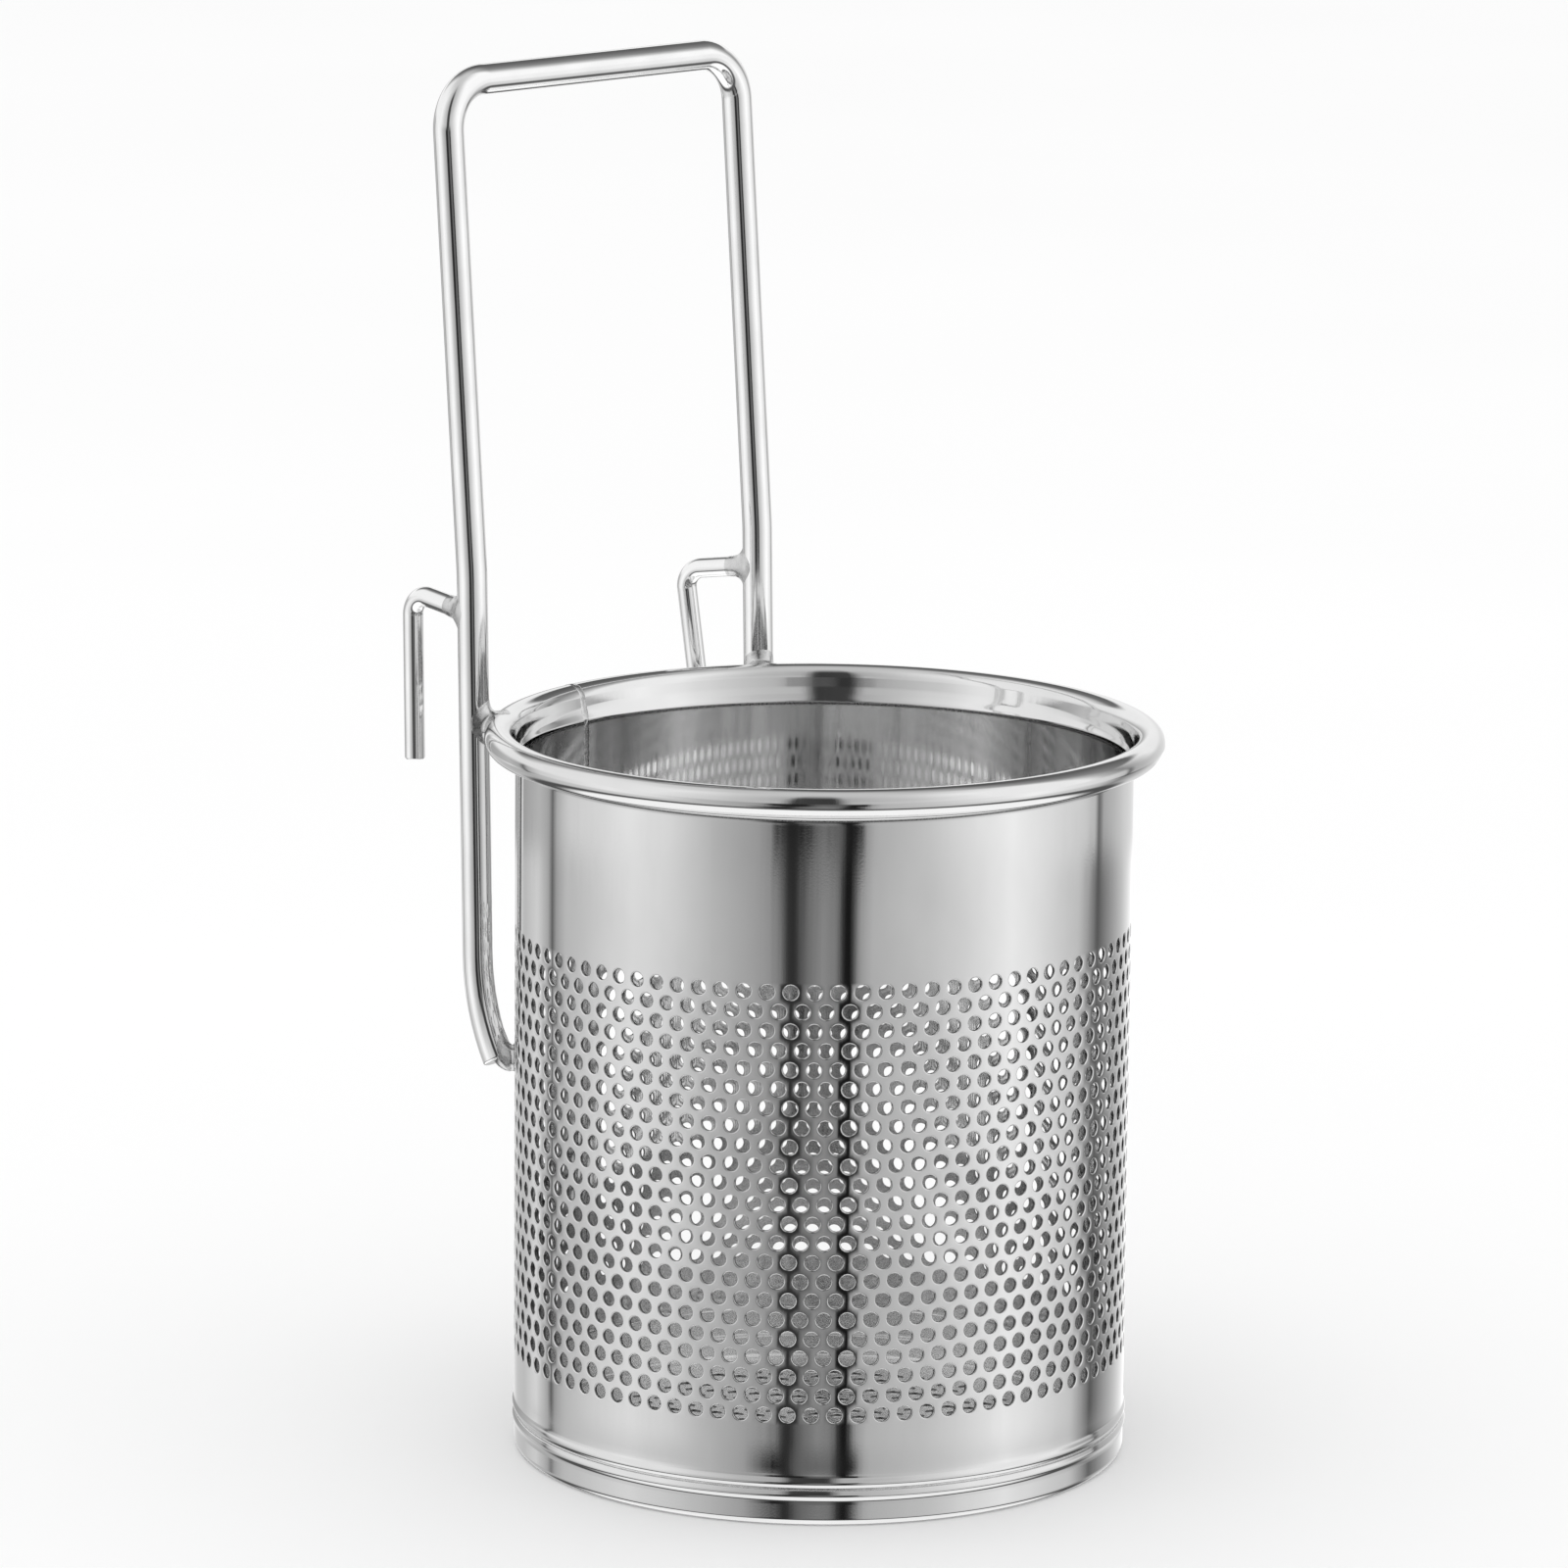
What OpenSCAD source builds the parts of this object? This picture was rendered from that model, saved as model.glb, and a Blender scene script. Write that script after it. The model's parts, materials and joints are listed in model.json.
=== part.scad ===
// Deep round strainer basket of perforated sheet, with a bent wire handle and two hooks for a pot's rim.
// The origin is the centre of the base's underside, +Z is up, and the handle stands on the +Y side.

/* [Basket] */
// Outside diameter of the wall
wall_d = 120; // [100:1:140]
// Thickness of the sheet
sheet_t = 0.6; // [0.5:0.1:0.8]
// Height of the rim roll's centre above the table
rim_z = 141; // [120:1:160]
// Depth of the collar, from the rim roll's centre down to the step
collar_h = 5; // [4:0.5:10]
// How far the collar stands out from the wall below it
step_out = 1; // [0.6:0.1:1.4]
// Diameter of the stiffening wire inside the rim roll
rim_wire_d = 4.3; // [3.5:0.1:5]
// Width of the weld along the wall's upright seam
seam_w = 1.6; // [1:0.1:3]
// Direction of the upright seam, measured from +X
seam_angle = 96; // [75:1:105]

/* [Base] */
// Radius of the base's lower corner
base_corner = 1.5; // [1:0.1:3]
// Height of the joint between the base pan and the wall
joint_z = 7.2; // [6:0.1:10]
// How far the hems at that joint stand out
hem_out = 0.35; // [0.2:0.05:0.6]
// How far the base pan's spigot reaches up inside the wall
spigot_h = 4; // [3:0.5:8]

/* [Handle] */
// Diameter of the handle's wire
handle_wire = 6; // [5:0.5:7]
// Distance between the centre lines of the two uprights
handle_w = 80; // [60:1:90]
// Height of the top bar's centre line
bar_z = 266; // [230:1:300]
// Bend radius of the top corners, at the wire's centre line
corner_r = 9.5; // [6:0.5:14]
// Lean of the uprights below the kink, away from the basket
lower_lean = 1.3; // [0.5:0.1:2]
// Lean of the uprights above the kink
upper_lean = 4.4; // [3:0.1:8]
// Height of the kink
kink_z = 171; // [170:1:180]
// Height of the wire's lower ends
foot_z = 75; // [65:1:85]
// Lean of the wire at its lower ends, where it turns in to the wall
foot_lean = 30.5; // [28:0.5:31]

/* [Hooks] */
// Diameter of the hooks' wire
hook_wire = 4; // [3:0.5:4.5]
// Reach of the hooks, from the upright's centre line to the leg's
hook_reach = 16.8; // [14:0.2:22]
// Height at which the hooks leave the uprights
hook_z = 163; // [161:0.5:164]
// Height of the legs' lower ends
hook_end_z = 132; // [125:1:145]
// Bend radius of the hooks, at the wire's centre line
hook_r = 4; // [3:0.5:5]

/* [Hidden] */
$fn = 180;

steel = "silver";
bright_steel = "gainsboro";
weld_grey = "darkgray";

wall_r = wall_d / 2;
wall_in = wall_r - sheet_t;
collar_in = wall_in + step_out;
wire_play = 0.05;
roll_r = rim_wire_d / 2 + wire_play + sheet_t;
roll_x = collar_in + roll_r;
rim_r = roll_x + roll_r;
step_z = rim_z - collar_h;
roll_gap_angle = 44;
weld_h = 0.4;
weld_out = 0.08;
hem_r = 0.9;
hem_drop = 1;
// Shapes that cut others reach this far past them
cut_past = 5;

kink_r = 60;
foot_r = 42;
// Where a straight run meets a bend, a ball this much larger than the wire's radius joins the two
ball_swell = 0.02;
run_short = 0.05;
upright_x = handle_w / 2;
upright_play = 0.02;
rim_reach = rim_r + handle_wire / 2 + upright_play;
rim_y = sqrt(pow(rim_reach, 2) - pow(upright_x, 2));
kink_a = upper_lean - lower_lean;
kink_tangent = kink_r * tan(kink_a / 2);
foot_top_z = foot_z + foot_r * (sin(foot_lean) - sin(lower_lean));
foot_y = upright_y(foot_top_z) - foot_r * (cos(lower_lean) - cos(foot_lean));
lower_len = (kink_z - foot_top_z) / cos(lower_lean) - kink_tangent;
upper_len = (bar_z - kink_z) / cos(upper_lean) - kink_tangent - corner_r;
bar_len = handle_w - 2 * corner_r;

// Each hook's own set: [side, turn towards the middle, rise of the arm, lean of the leg towards the basket]
left_set = [-1, 0, 8, 1];
right_set = [1, 15, -8, 8];

// The upright's centre line below the kink
function upright_y(z) = rim_y + tan(lower_lean) * (z - rim_z);

// A quarter-round or smaller bend that leaves the origin along +Z and turns towards +X
module elbow(r, angle, d) {
    translate([r, 0, 0]) rotate([90, 0, 180]) rotate_extrude(angle = angle) translate([r, 0]) circle(d = d);
}

// A bent wire. Each step is [straight length, bend radius, bend angle, direction of the bend about the wire]
module bent_wire(steps, d, i = 0) {
    if (i < len(steps)) {
        run = steps[i][0];
        r = steps[i][1];
        angle = steps[i][2];
        way = steps[i][3];
        start = i > 0 ? run_short : 0;
        finish = angle > 0 ? run_short : 0;
        if (i > 0) sphere(r = d / 2 + ball_swell);
        if (run > 0) translate([0, 0, start]) cylinder(h = run - start - finish, d = d);
        translate([0, 0, run]) rotate([0, 0, way]) {
            if (angle > 0 && run > 0) sphere(r = d / 2 + ball_swell);
            if (angle > 0) elbow(r, angle, d);
            translate([r * (1 - cos(angle)), 0, r * sin(angle)]) rotate([0, angle, 0]) rotate([0, 0, -way])
                bent_wire(steps, d, i + 1);
        }
    }
}

// The outward hem of a sheet's edge, as a low round bulge in profile
module hem_profile(z) {
    intersection() {
        translate([wall_r + hem_out - hem_r, z]) circle(r = hem_r);
        translate([wall_r - sheet_t / 2, z - hem_r]) square([sheet_t, 2 * hem_r]);
    }
}

// The sheet of the wall in profile: straight wall, step, collar, and the roll round the rim wire
module wall_profile() {
    low = joint_z + weld_h / 2;
    translate([wall_in, low]) square([sheet_t, step_z - low]);
    hem_profile(low + hem_drop);
    polygon([
        [wall_in, step_z],
        [wall_r, step_z],
        [wall_r + step_out, step_z + step_out],
        [collar_in, step_z + step_out]
    ]);
    translate([collar_in, step_z + step_out]) square([sheet_t, collar_h - step_out]);
    translate([roll_x, rim_z]) difference() {
        circle(r = roll_r);
        circle(r = roll_r - sheet_t);
        polygon([[0, 0], [-2 * roll_r, 0], [-2 * roll_r, -2 * roll_r * tan(roll_gap_angle)]]);
    }
}

// The upright slot in the wall that the seam's weld fills
module seam_slot() {
    rotate([0, 0, seam_angle]) translate([wall_r - cut_past, -seam_w / 2, 0])
        cube([rim_r - wall_r + 2 * cut_past, seam_w, rim_z + roll_r + cut_past]);
}

module basket_wall() {
    color(steel) difference() {
        rotate_extrude() wall_profile();
        seam_slot();
    }
}

module side_seam_weld() {
    color(weld_grey) intersection() {
        rotate_extrude() wall_profile();
        seam_slot();
    }
}

module rim_wire() {
    color(bright_steel) rotate_extrude() translate([roll_x, rim_z]) circle(d = rim_wire_d);
}

// The pan: flat bottom, round corner, skirt flush with the wall, and a spigot inside the wall
module base_pan() {
    high = joint_z - weld_h / 2;
    color(steel) rotate_extrude() {
        square([wall_r - base_corner, sheet_t]);
        translate([wall_r - base_corner, base_corner]) intersection() {
            difference() {
                circle(r = base_corner);
                circle(r = base_corner - sheet_t);
            }
            translate([0, -base_corner]) square(base_corner);
        }
        translate([wall_in, base_corner]) square([sheet_t, high - base_corner]);
        hem_profile(high - hem_drop);
        translate([wall_in - sheet_t, high - 2 * sheet_t]) square([sheet_t, 2 * sheet_t + spigot_h]);
    }
}

module base_joint_weld() {
    color(weld_grey) rotate_extrude() translate([wall_in, joint_z - weld_h / 2])
        square([sheet_t + weld_out, weld_h]);
}

// One wire, bent in at its feet, kinked above the rim and square across the top
module handle_frame() {
    foot_bend = [foot_r, foot_lean - lower_lean, -90];
    kink = [kink_r, kink_a, 90];
    corner = [corner_r, 90, 0];
    color(bright_steel) translate([-upright_x, foot_y, foot_z]) rotate([-foot_lean, 0, 0]) bent_wire([
        [0, each foot_bend],
        [lower_len, each kink],
        [upper_len, each corner],
        [bar_len, each corner],
        [upper_len, each kink],
        [lower_len, each foot_bend]
    ], handle_wire);
}

// The straight lower stretch of an upright, used to cope the pieces that meet it
module upright_core(side) {
    core_h = 80;
    translate([side * upright_x, upright_y(hook_z), hook_z]) rotate([-lower_lean, 0, 0])
        cylinder(h = core_h, d = handle_wire, center = true);
}

// Places its children where a hook leaves its upright, with +Z along the hook's arm
module at_hook(set) {
    translate([set[0] * upright_x, upright_y(hook_z), hook_z]) rotate([0, 0, set[0] * set[1]])
        rotate([set[2] - 90, 0, 0]) children();
}

module hook(set) {
    bend = 90 + set[2] + set[3];
    tangent = hook_r * tan(bend / 2);
    arm = hook_reach / cos(set[2]);
    leg = (hook_z + arm * sin(set[2]) - hook_end_z) / cos(set[3]);
    color(bright_steel) difference() {
        at_hook(set) bent_wire([[arm - tangent, hook_r, bend, 90], [leg - tangent, 0, 0, 0]], hook_wire);
        upright_core(set[0]);
    }
}

// A cone of weld round a hook's arm where it meets the upright
module hook_weld(set) {
    cone_start = 2;
    cone_h = 3.5;
    root_swell = 1.4;
    tip_swell = 0.1;
    color(weld_grey) difference() {
        at_hook(set) translate([0, 0, cone_start])
            cylinder(h = cone_h, r1 = hook_wire / 2 + root_swell, r2 = hook_wire / 2 + tip_swell);
        at_hook(set) cylinder(h = cone_start + cone_h + cut_past, d = hook_wire);
        upright_core(set[0]);
    }
}

// A blob of weld in the corner between the rim roll and an upright
module rim_weld(side) {
    blob_r = 3.4;
    blob_sink = 0.3;
    blob_rise = 1.6;
    aim = atan2(rim_y, side * upright_x);
    color(weld_grey) difference() {
        rotate([0, 0, aim]) translate([rim_r - blob_sink, 0, rim_z + blob_rise]) sphere(r = blob_r);
        rotate_extrude() translate([roll_x, rim_z]) circle(r = roll_r);
        upright_core(side);
    }
}

// A blob of weld between the wall and the turned-in foot of an upright
module foot_weld(side) {
    blob_r = 3;
    blob_out = 1.2;
    blob_rise = 2.2;
    blob_z = foot_z + blob_rise;
    blob_y = foot_y + blob_rise * tan(foot_lean);
    aim = atan2(blob_y, side * upright_x);
    color(weld_grey) difference() {
        rotate([0, 0, aim]) translate([wall_r + blob_out, 0, blob_z]) sphere(r = blob_r);
        cylinder(h = rim_z, r = wall_r);
        translate([side * upright_x, foot_y, foot_z]) rotate([-foot_lean, 0, 0])
            bent_wire([[0, foot_r, foot_lean - lower_lean, -90]], handle_wire);
    }
}

basket_wall();
rim_wire();
base_pan();
base_joint_weld();
side_seam_weld();
handle_frame();
hook(left_set);  // left_hook
hook(right_set);  // right_hook
hook_weld(left_set);  // left_hook_weld
hook_weld(right_set);  // right_hook_weld
rim_weld(-1);  // left_rim_weld
rim_weld(1);  // right_rim_weld
foot_weld(-1);  // left_foot_weld
foot_weld(1);  // right_foot_weld
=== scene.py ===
"""Looks of the deep strainer basket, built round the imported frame.

Lengths are in metres, and angles in radians unless a name ends in _DEG or _deg.
The basket's axis is Z, and the handle stands on +Y.
"""

import json
import math

import bpy
import numpy as np
from mathutils import Matrix, Vector
from mathutils.geometry import delaunay_2d_cdt

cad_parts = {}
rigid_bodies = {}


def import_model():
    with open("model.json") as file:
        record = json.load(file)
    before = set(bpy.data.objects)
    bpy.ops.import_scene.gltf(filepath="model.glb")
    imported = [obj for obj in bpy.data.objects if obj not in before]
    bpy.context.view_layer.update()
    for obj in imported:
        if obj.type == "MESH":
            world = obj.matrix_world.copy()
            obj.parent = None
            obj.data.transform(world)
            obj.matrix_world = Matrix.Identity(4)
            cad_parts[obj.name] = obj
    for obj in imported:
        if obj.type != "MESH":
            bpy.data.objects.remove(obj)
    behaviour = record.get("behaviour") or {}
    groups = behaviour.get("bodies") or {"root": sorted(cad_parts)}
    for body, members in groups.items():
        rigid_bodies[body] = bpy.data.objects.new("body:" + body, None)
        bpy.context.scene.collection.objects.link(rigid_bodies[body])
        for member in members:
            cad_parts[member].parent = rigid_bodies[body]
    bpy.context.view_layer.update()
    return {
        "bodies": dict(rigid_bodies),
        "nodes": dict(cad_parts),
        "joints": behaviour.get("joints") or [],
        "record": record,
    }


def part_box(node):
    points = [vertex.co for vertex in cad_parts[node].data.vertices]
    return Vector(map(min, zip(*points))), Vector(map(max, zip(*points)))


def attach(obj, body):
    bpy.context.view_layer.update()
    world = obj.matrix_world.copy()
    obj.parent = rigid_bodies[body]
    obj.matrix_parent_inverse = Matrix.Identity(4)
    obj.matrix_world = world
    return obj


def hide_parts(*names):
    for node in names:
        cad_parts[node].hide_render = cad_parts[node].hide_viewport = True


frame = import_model()

MM = 0.001
TURN = 2 * math.pi
JOIN = 0.0001 * MM  # points closer than this are one point

# ---- Sizes that the frame gives ----
wall_low, wall_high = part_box("basket_wall")
pan_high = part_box("base_pan")[1]
handle_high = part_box("handle_frame")[1]

# ---- Sheet: the same sizes as the design's ----
SHEET = 0.6 * MM
ROLL_R = 2.8 * MM
STEP_OUT = 1.0 * MM
COLLAR_H = 5.0 * MM
HEM_OUT = 0.35 * MM
HEM_DROP = 1.0 * MM
BASE_CORNER = 1.5 * MM
WELD_H = 0.4 * MM
SEAM_DEG = 96.0

RIM_R = wall_high.x
RIM_Z = wall_high.z - ROLL_R
ROLL_X = RIM_R - ROLL_R
WALL_R = ROLL_X - ROLL_R - STEP_OUT + SHEET
STEP_Z = RIM_Z - COLLAR_H
WALL_Z = wall_low.z
PAN_Z = WALL_Z - WELD_H

# ---- Perforation: staggered rows, blank at the seam. Each hole's cell is CELL_STEPS steps wide. ----
HOLE_R = 1.42 * MM
ROWS = 23
LOW_ROW_Z = 21.77 * MM
ROW_PITCH = 3.74 * MM
HOLES_ROUND = 83
HOLE_PITCH_DEG = 4.3025
FIRST_CELL_DEG = 99.31
FRONT_DEG = 223.3  # the rows have their stated heights here
ROW_CLIMB = 0.0075 * MM  # and climb by this with each degree round the wall
CELL_STEPS = 6
HOLE_SIDES = 16
LIP_R = 1.68 * MM
DISH_R = 1.54 * MM
DISH_DEPTH = 0.05 * MM
EDGE_DEPTH = 0.15 * MM
# How far the normals lean: into the hole at the dish, and out of it at the edge
DISH_TILT, EDGE_TILT = 0.45, 0.15
SPLIT_ROW = 10

# ---- Wire ----
WIRE_R = 3.0 * MM
HOOK_WIRE_R = 2.0 * MM
UPRIGHT_X = handle_high.x - WIRE_R
BAR_Z = handle_high.z - WIRE_R
FOOT_Z = 75.0 * MM
KINK_Z = 171.0 * MM
KINK_R = 60.0 * MM
FOOT_R = 42.0 * MM
CORNER_R = 9.5 * MM
LOWER_LEAN = math.radians(1.3)
UPPER_LEAN = math.radians(4.4)
FOOT_LEAN = math.radians(30.5)
HOOK_Z = 163.0 * MM
HOOK_REACH = 16.8 * MM
HOOK_END_Z = 132.0 * MM
HOOK_R = 4.0 * MM


def smooth(t):
    """0 before 0, 1 after 1, and a soft step between."""
    t = np.clip(t, 0, 1)
    return t * t * (3 - 2 * t)


def unit(v):
    return v / np.linalg.norm(v, axis=-1, keepdims=True)


# ---------------------------------------------------------------- mesh building


class Surface:
    """Gathers faces with a normal at each corner, and joins them into one mesh.

    Each corner's place is what its metal reads: the face of a sheet, or the way along a wire.
    """

    def __init__(self):
        self.faces = {3: [], 4: []}

    def add(self, points, normals, place=0.0):
        """Faces given corner by corner: points and normals are (faces, corners, 3)."""
        points = np.asarray(points, float)
        corners = points.shape[-2]
        parts = [points, np.broadcast_to(normals, points.shape), np.broadcast_to(place, points.shape)]
        self.faces[corners].append(np.concatenate(parts, -1).reshape(-1, corners, 9))

    def grid(self, points, normals, place=0.0):
        """The faces between neighbours in a grid of points, (..., rows, columns, 3)."""
        points = np.asarray(points, float)
        whole = [np.broadcast_to(a, points.shape) for a in (points, normals, place)]
        data = np.concatenate(whole, -1)
        ends = [data[..., :-1, :-1, :], data[..., 1:, :-1, :], data[..., 1:, 1:, :], data[..., :-1, 1:, :]]
        self.faces[4].append(np.stack(ends, -2).reshape(-1, 4, 9))

    def fan(self, ring, normal, centre, place=0.0):
        """Triangles from a closed ring's neighbours to its centre."""
        ring = np.asarray(ring, float)
        middle = np.broadcast_to(centre, ring[:-1].shape)
        self.add(np.stack([ring[:-1], ring[1:], middle], -2), normal, place)

    def make(self, name, material, slot, *nodes):
        """One mesh object of all the faces, which rides on the root body and stands for the CAD nodes."""
        loops, starts, offset = [], [], 0
        for corners, sets in self.faces.items():
            if sets:
                block = np.concatenate(sets)
                a, b, c = block[:, 0, :3], block[:, 1, :3], block[:, 2, :3]
                facing = np.einsum("ij,ij->i", np.cross(b - a, c - b), block[:, :, 3:6].sum(1))
                block = np.where(facing[:, None, None] < 0, block[:, ::-1], block)
                loops.append(block.reshape(-1, 9))
                starts.append(offset + corners * np.arange(len(block)))
                offset += corners * len(block)
        loops, starts = np.concatenate(loops), np.concatenate(starts)
        key = np.round((loops[:, :3] - loops[:, :3].min(0)) / JOIN).astype(np.int64)
        key = (key[:, 0] << 42) + (key[:, 1] << 21) + key[:, 2]
        first, index = np.unique(key, return_index=True, return_inverse=True)[1:]
        mesh = bpy.data.meshes.new(name)
        mesh.vertices.add(len(first))
        mesh.vertices.foreach_set("co", loops[first, :3].ravel())
        mesh.loops.add(len(loops))
        mesh.loops.foreach_set("vertex_index", index.ravel().astype(np.int32))
        mesh.polygons.add(len(starts))
        mesh.polygons.foreach_set("loop_start", starts.astype(np.int32))
        mesh.update(calc_edges=True)
        mesh.shade_smooth()
        mesh.normals_split_custom_set(unit(loops[:, 3:6]).tolist())
        along = mesh.attributes.new("place", "FLOAT_VECTOR", "CORNER")
        along.data.foreach_set("vector", loops[:, 6:].ravel())
        piece = bpy.data.objects.new(name, mesh)
        bpy.context.scene.collection.objects.link(piece)
        mesh.materials.append(material)
        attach(piece, "root")
        if nodes:
            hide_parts(*nodes)
        return piece


def cylindrical(r, angle, z):
    r, angle, z = np.broadcast_arrays(r, angle, z)
    return np.stack([r * np.cos(angle), r * np.sin(angle), z], -1)


def lathe(surface, profile, normals, angles, face=0.0, lift=0.0):
    """Turns a profile of (radius, height) points, with their normals, round the axis."""
    r, z = np.asarray(profile)[:, :1], np.asarray(profile)[:, 1:] + lift
    nr, nz = np.asarray(normals)[:, :1], np.asarray(normals)[:, 1:]
    surface.grid(cylindrical(r, angles[None], z), cylindrical(nr, angles[None], nz), face)


# What a sheet's place tells its metal
OUTSIDE = (0.0, 0.0, 0.0)
# Painted shade: the hole bores and a line along the ledge's foot get a dark colour that stands in for shade;
# the metal there is the same steel
PAINTED_SHADE = (1.0, 0.0, 0.0)
INSIDE = (0.0, 1.0, 0.0)
PAN_INSIDE = (0.0, 0.0, 1.0)


def arc(centre, radius, start_deg, end_deg, count):
    """Points of an arc in (radius, height), and their outward normals."""
    a = np.radians(np.linspace(start_deg, end_deg, count))
    outward = np.stack([np.cos(a), np.sin(a)], -1)
    return np.asarray(centre) + radius * outward, outward


# ---------------------------------------------------------------- the wall's sheet


def bell(t):
    return np.exp(-t * t)


HEM_Z = WALL_Z + HEM_DROP
HEM_SPREAD = 0.75 * MM
HEM_REACH = 2.4 * HEM_SPREAD
LOW_FLARE, LOW_FLARE_TOP = -0.06 * MM, 17.0 * MM
HIGH_FLARE, HIGH_FLARE_LOW = -0.02 * MM, 120.0 * MM
STEP_HALF = 1.1 * MM
LEDGE_OUT, LEDGE_Z = 0.35 * MM, STEP_Z + 0.4 * MM
COLLAR_FOOT = STEP_Z - 2 * STEP_HALF
# Painted shade on each face: a dark line along the foot of the ledge, where shade falls under the rim roll
OUTER_SHADE_LINE_Z, INNER_SHADE_LINE_Z, SHADE_LINE_SPREAD = STEP_Z + 1.15 * MM, STEP_Z + 0.35 * MM, 0.25 * MM
COLLAR_LEAN = math.radians(9)


def wall_bulge(z):
    """How far the wall stands out from its straight cylinder at height z."""
    hem = (HEM_OUT - LOW_FLARE) * bell((z - HEM_Z) / HEM_SPREAD)
    low = LOW_FLARE * np.clip((LOW_FLARE_TOP - z) / (LOW_FLARE_TOP - HEM_Z), 0, 1) ** 2
    rise = np.clip((z - HIGH_FLARE_LOW) / (STEP_Z - HIGH_FLARE_LOW), 0, 1)
    step = smooth((z - LEDGE_Z) / (2 * STEP_HALF))
    lean = math.tan(COLLAR_LEAN) * np.maximum(z - STEP_Z - STEP_HALF, 0)
    return hem + low + HIGH_FLARE * rise**2 * (1 - step) + LEDGE_OUT * step + lean


def wall_line(z):
    """The sheet's centre line at the heights z, and its outward normals."""
    nudge = 0.001 * MM
    slope = (wall_bulge(z + nudge) - wall_bulge(z - nudge)) / (2 * nudge)
    line = np.stack([WALL_R - SHEET / 2 + wall_bulge(z), z], -1)
    return line, unit(np.stack([np.ones_like(z), -slope], -1))


def cell_angle(index):
    """The direction of a step of the hole pattern. The steps past the last full cell share what is left."""
    count = CELL_STEPS * HOLES_ROUND
    index = np.mod(index, count)
    pitch = math.radians(HOLE_PITCH_DEG) / CELL_STEPS
    last = count - CELL_STEPS
    rest = (TURN - last * pitch) / CELL_STEPS
    turned = np.where(index < last, index * pitch, last * pitch + (index - last) * rest)
    return math.radians(FIRST_CELL_DEG) + turned


def row_climb(index):
    """How far the rows have climbed at a step of the hole pattern. They drop back over the seam."""
    count = CELL_STEPS * HOLES_ROUND
    index = np.mod(index, count)
    last = count - CELL_STEPS
    start = ROW_CLIMB * (FIRST_CELL_DEG - FRONT_DEG)
    end = start + ROW_CLIMB * HOLE_PITCH_DEG * (HOLES_ROUND - 1)
    climbing = start + (end - start) * index / last
    dropping = end + (start - end) * (index - last) / CELL_STEPS
    return np.where(index < last, climbing, dropping)


def ring_angles():
    """Every direction at which the hole pattern has a column of points, closed."""
    return cell_angle(np.arange(CELL_STEPS * HOLES_ROUND + 1))


# The outline of one cell, in steps round the wall and half rows up
CELL_LOOP = np.array(
    [(3, 0)]
    + [(j, 1) for j in range(3, -4, -1)]
    + [(-3, 0)]
    + [(j, -1) for j in range(-3, 4)]
    + [(3, 0)]
)


def perforated_rows(surface, rows):
    """Rows of cells, each a patch of both faces of the sheet with a punched hole or none."""
    row, column = np.meshgrid(rows, np.arange(HOLES_ROUND), indexing="ij")
    row, column = row.ravel()[:, None], column.ravel()[:, None]
    middle = CELL_STEPS * column + CELL_STEPS // 2 + CELL_STEPS // 2 * (row % 2)
    loop = cell_angle(middle + CELL_LOOP[:, 0])
    loop_z = LOW_ROW_Z + (2 * row + CELL_LOOP[:, 1]) * ROW_PITCH / 2 + row_climb(middle + CELL_LOOP[:, 0])
    centre = cell_angle(middle)
    centre_z = LOW_ROW_Z + row * ROW_PITCH + row_climb(middle)
    at_seam = CELL_STEPS * (HOLES_ROUND - 1)
    near = np.mod(middle + CELL_STEPS // 2, CELL_STEPS * HOLES_ROUND)
    blank = ((near > at_seam) | (near < CELL_STEPS))[:, 0]

    turn = TURN * np.arange(HOLE_SIDES + 1) / HOLE_SIDES
    out = cylindrical(1.0, centre, 0.0)
    side = cylindrical(1.0, centre + math.pi / 2, 0.0)
    up = np.array([0, 0, 1.0])
    towards = -(np.cos(turn)[:, None] * side + np.sin(turn)[:, None] * up)

    def ring(radius, depth):
        radius = np.full(HOLE_SIDES + 1, radius)
        angle = centre + radius * np.cos(turn) / WALL_R
        return cylindrical(WALL_R - depth, angle, centre_z + radius * np.sin(turn))

    outer = cylindrical(WALL_R, loop, loop_z)
    inner = cylindrical(WALL_R - SHEET, loop, loop_z)
    loop_out = cylindrical(1.0, loop, 0.0)
    flat = np.broadcast_to(out, towards.shape)
    rings = [
        (outer, loop_out),
        (ring(LIP_R, 0), flat),
        (ring(DISH_R, DISH_DEPTH), unit(flat + DISH_TILT * towards)),
        (ring(HOLE_R, EDGE_DEPTH), unit(towards + EDGE_TILT * flat)),
    ]
    bore = [(ring(HOLE_R, EDGE_DEPTH), unit(towards + EDGE_TILT * flat)), (ring(HOLE_R, SHEET), towards)]
    back = [(ring(HOLE_R, SHEET), -flat), (inner, -loop_out)]
    # the bores take painted shade: a dark colour for the shade inside each hole
    for stack, face in ((rings, 0.0), (bore, PAINTED_SHADE), (back, INSIDE)):
        points = np.stack([p[~blank] for p, _ in stack], 1)
        normals = np.stack([n[~blank] for _, n in stack], 1)
        surface.grid(points, normals, face)
    for depth, loop_points, sign, face in ((0, outer, 1, 0.0), (SHEET, inner, -1, INSIDE)):
        a, b = loop_points[blank][:, :-1], loop_points[blank][:, 1:]
        middle_point = np.broadcast_to(cylindrical(WALL_R - depth, centre, centre_z)[blank], a.shape)
        normals = np.stack([loop_out[blank][:, :-1], loop_out[blank][:, 1:], flat[blank][:, :-1]], -2)
        corners = np.stack([a, b, middle_point], -2).reshape(-1, 3, 3)
        surface.add(corners, sign * normals.reshape(-1, 3, 3), face)


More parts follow.
